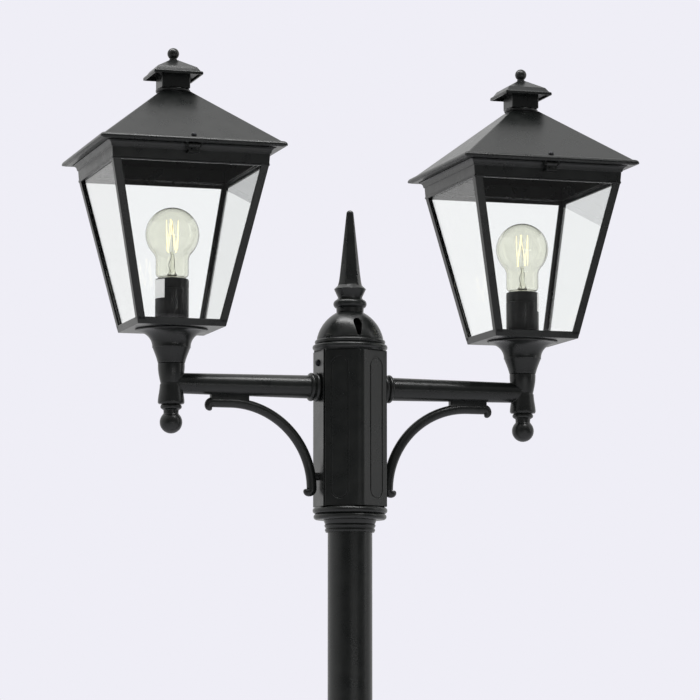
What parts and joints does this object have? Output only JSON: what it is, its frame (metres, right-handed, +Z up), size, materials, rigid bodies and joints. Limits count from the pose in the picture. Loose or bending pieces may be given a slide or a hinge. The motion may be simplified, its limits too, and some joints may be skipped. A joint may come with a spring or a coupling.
{
  "type": "street lamp",
  "caption": "Floor-standing street lamp: round pole, hexagonal head with dome and spire, braced side arms, and four-sided glazed lanterns with hinged pyramid hoods.",
  "frame": {"origin": "on the ground at the middle of the foot flange", "axes": "+Z up the pole, +X along the right arm, front of the lamp towards -Y"},
  "size_m": [0.623, 0.23, 2.1986],
  "materials": {
    "coat_black": "charcoal-black powder coat on cast aluminium, satin with a fine texture",
    "screw_zinc": "zinc-plated steel",
    "screw_dark": "blackened steel screw, worn bright at the slot",
    "pane_glass": "clear flat glass with a green edge",
    "holder_black": "black moulded phenolic",
    "bulb_glass": "clear blown glass with a faint warm tint",
    "bulb_brass": "plated rolled thread",
    "filament": "bright wire on a glass stem",
    "terminal_cream": "moulded connector block"
  },
  "bodies": {
    "post": {"base_casting": "coat_black", "base_screws": "screw_zinc", "pole": "coat_black", "pole_collar": "coat_black", "head_collar": "coat_black", "head_frame": "coat_black", "front_cover": "coat_black", "rear_cover": "coat_black", "terminal_block": "terminal_cream", "dome_cap": "coat_black", "side_screws": "screw_dark", "finial_spire": "coat_black", "left_arm": "coat_black", "right_arm": "coat_black", "arm_rosettes": "coat_black", "arm_locknuts": "screw_zinc", "left_brace": "coat_black", "right_brace": "coat_black", "drop_finials": "coat_black"},
    "left_lantern": {"left_socket": "coat_black", "left_grub_screws": "screw_zinc", "left_bottom_frame": "coat_black", "left_corner_posts": "coat_black", "left_crown_frame": "coat_black", "left_glass_front": "pane_glass", "left_glass_rear": "pane_glass", "left_glass_left": "pane_glass", "left_glass_right": "pane_glass", "left_hinge_pin": "screw_zinc", "left_lampholder": "holder_black"},
    "left_hood": {"left_hood": "coat_black", "left_chimney": "coat_black", "left_chimney_cap": "coat_black", "left_ball_finial": "coat_black", "left_hood_screw": "screw_dark"},
    "left_catch": {"left_catch": "coat_black"},
    "left_bulb": {"left_bulb_glass": "bulb_glass", "left_bulb_cap": "bulb_brass", "left_bulb_filament": "filament"},
    "right_lantern": {"right_socket": "coat_black", "right_grub_screws": "screw_zinc", "right_bottom_frame": "coat_black", "right_corner_posts": "coat_black", "right_crown_frame": "coat_black", "right_glass_front": "pane_glass", "right_glass_rear": "pane_glass", "right_glass_left": "pane_glass", "right_glass_right": "pane_glass", "right_hinge_pin": "screw_zinc", "right_lampholder": "holder_black"},
    "right_hood": {"right_hood": "coat_black", "right_chimney": "coat_black", "right_chimney_cap": "coat_black", "right_ball_finial": "coat_black", "right_hood_screw": "screw_dark"},
    "right_catch": {"right_catch": "coat_black"},
    "right_bulb": {"right_bulb_glass": "bulb_glass", "right_bulb_cap": "bulb_brass", "right_bulb_filament": "filament"}
  },
  "joints": [
    {"name": "left_swivel", "type": "hinge", "parent": "post", "child": "left_lantern", "pos_m": [-0.207, 0, 1.8436], "axis": [0, 0, 1], "range_deg": [-45, 45]},
    {"name": "left_hood_hinge", "type": "hinge", "parent": "left_lantern", "child": "left_hood", "pos_m": [-0.207, 0.0995, 2.0716], "axis": [-1, 0, 0], "range_deg": [0, 100]},
    {"name": "left_catch_pivot", "type": "hinge", "parent": "left_hood", "child": "left_catch", "pos_m": [-0.207, -0.098, 2.0726], "axis": [-1, 0, 0], "range_deg": [0, 80]},
    {"name": "left_bulb_lift", "type": "slide", "parent": "left_lantern", "child": "left_bulb", "axis": [0, 0, 1], "range_m": [0, 0.045]},
    {"name": "right_swivel", "type": "hinge", "parent": "post", "child": "right_lantern", "pos_m": [0.207, 0, 1.8436], "axis": [0, 0, 1], "range_deg": [-45, 45]},
    {"name": "right_hood_hinge", "type": "hinge", "parent": "right_lantern", "child": "right_hood", "pos_m": [0.207, 0.0995, 2.0716], "axis": [-1, 0, 0], "range_deg": [0, 100]},
    {"name": "right_catch_pivot", "type": "hinge", "parent": "right_hood", "child": "right_catch", "pos_m": [0.207, -0.098, 2.0726], "axis": [-1, 0, 0], "range_deg": [0, 80]},
    {"name": "right_bulb_lift", "type": "slide", "parent": "right_lantern", "child": "right_bulb", "axis": [0, 0, 1], "range_m": [0, 0.045]}
  ]
}
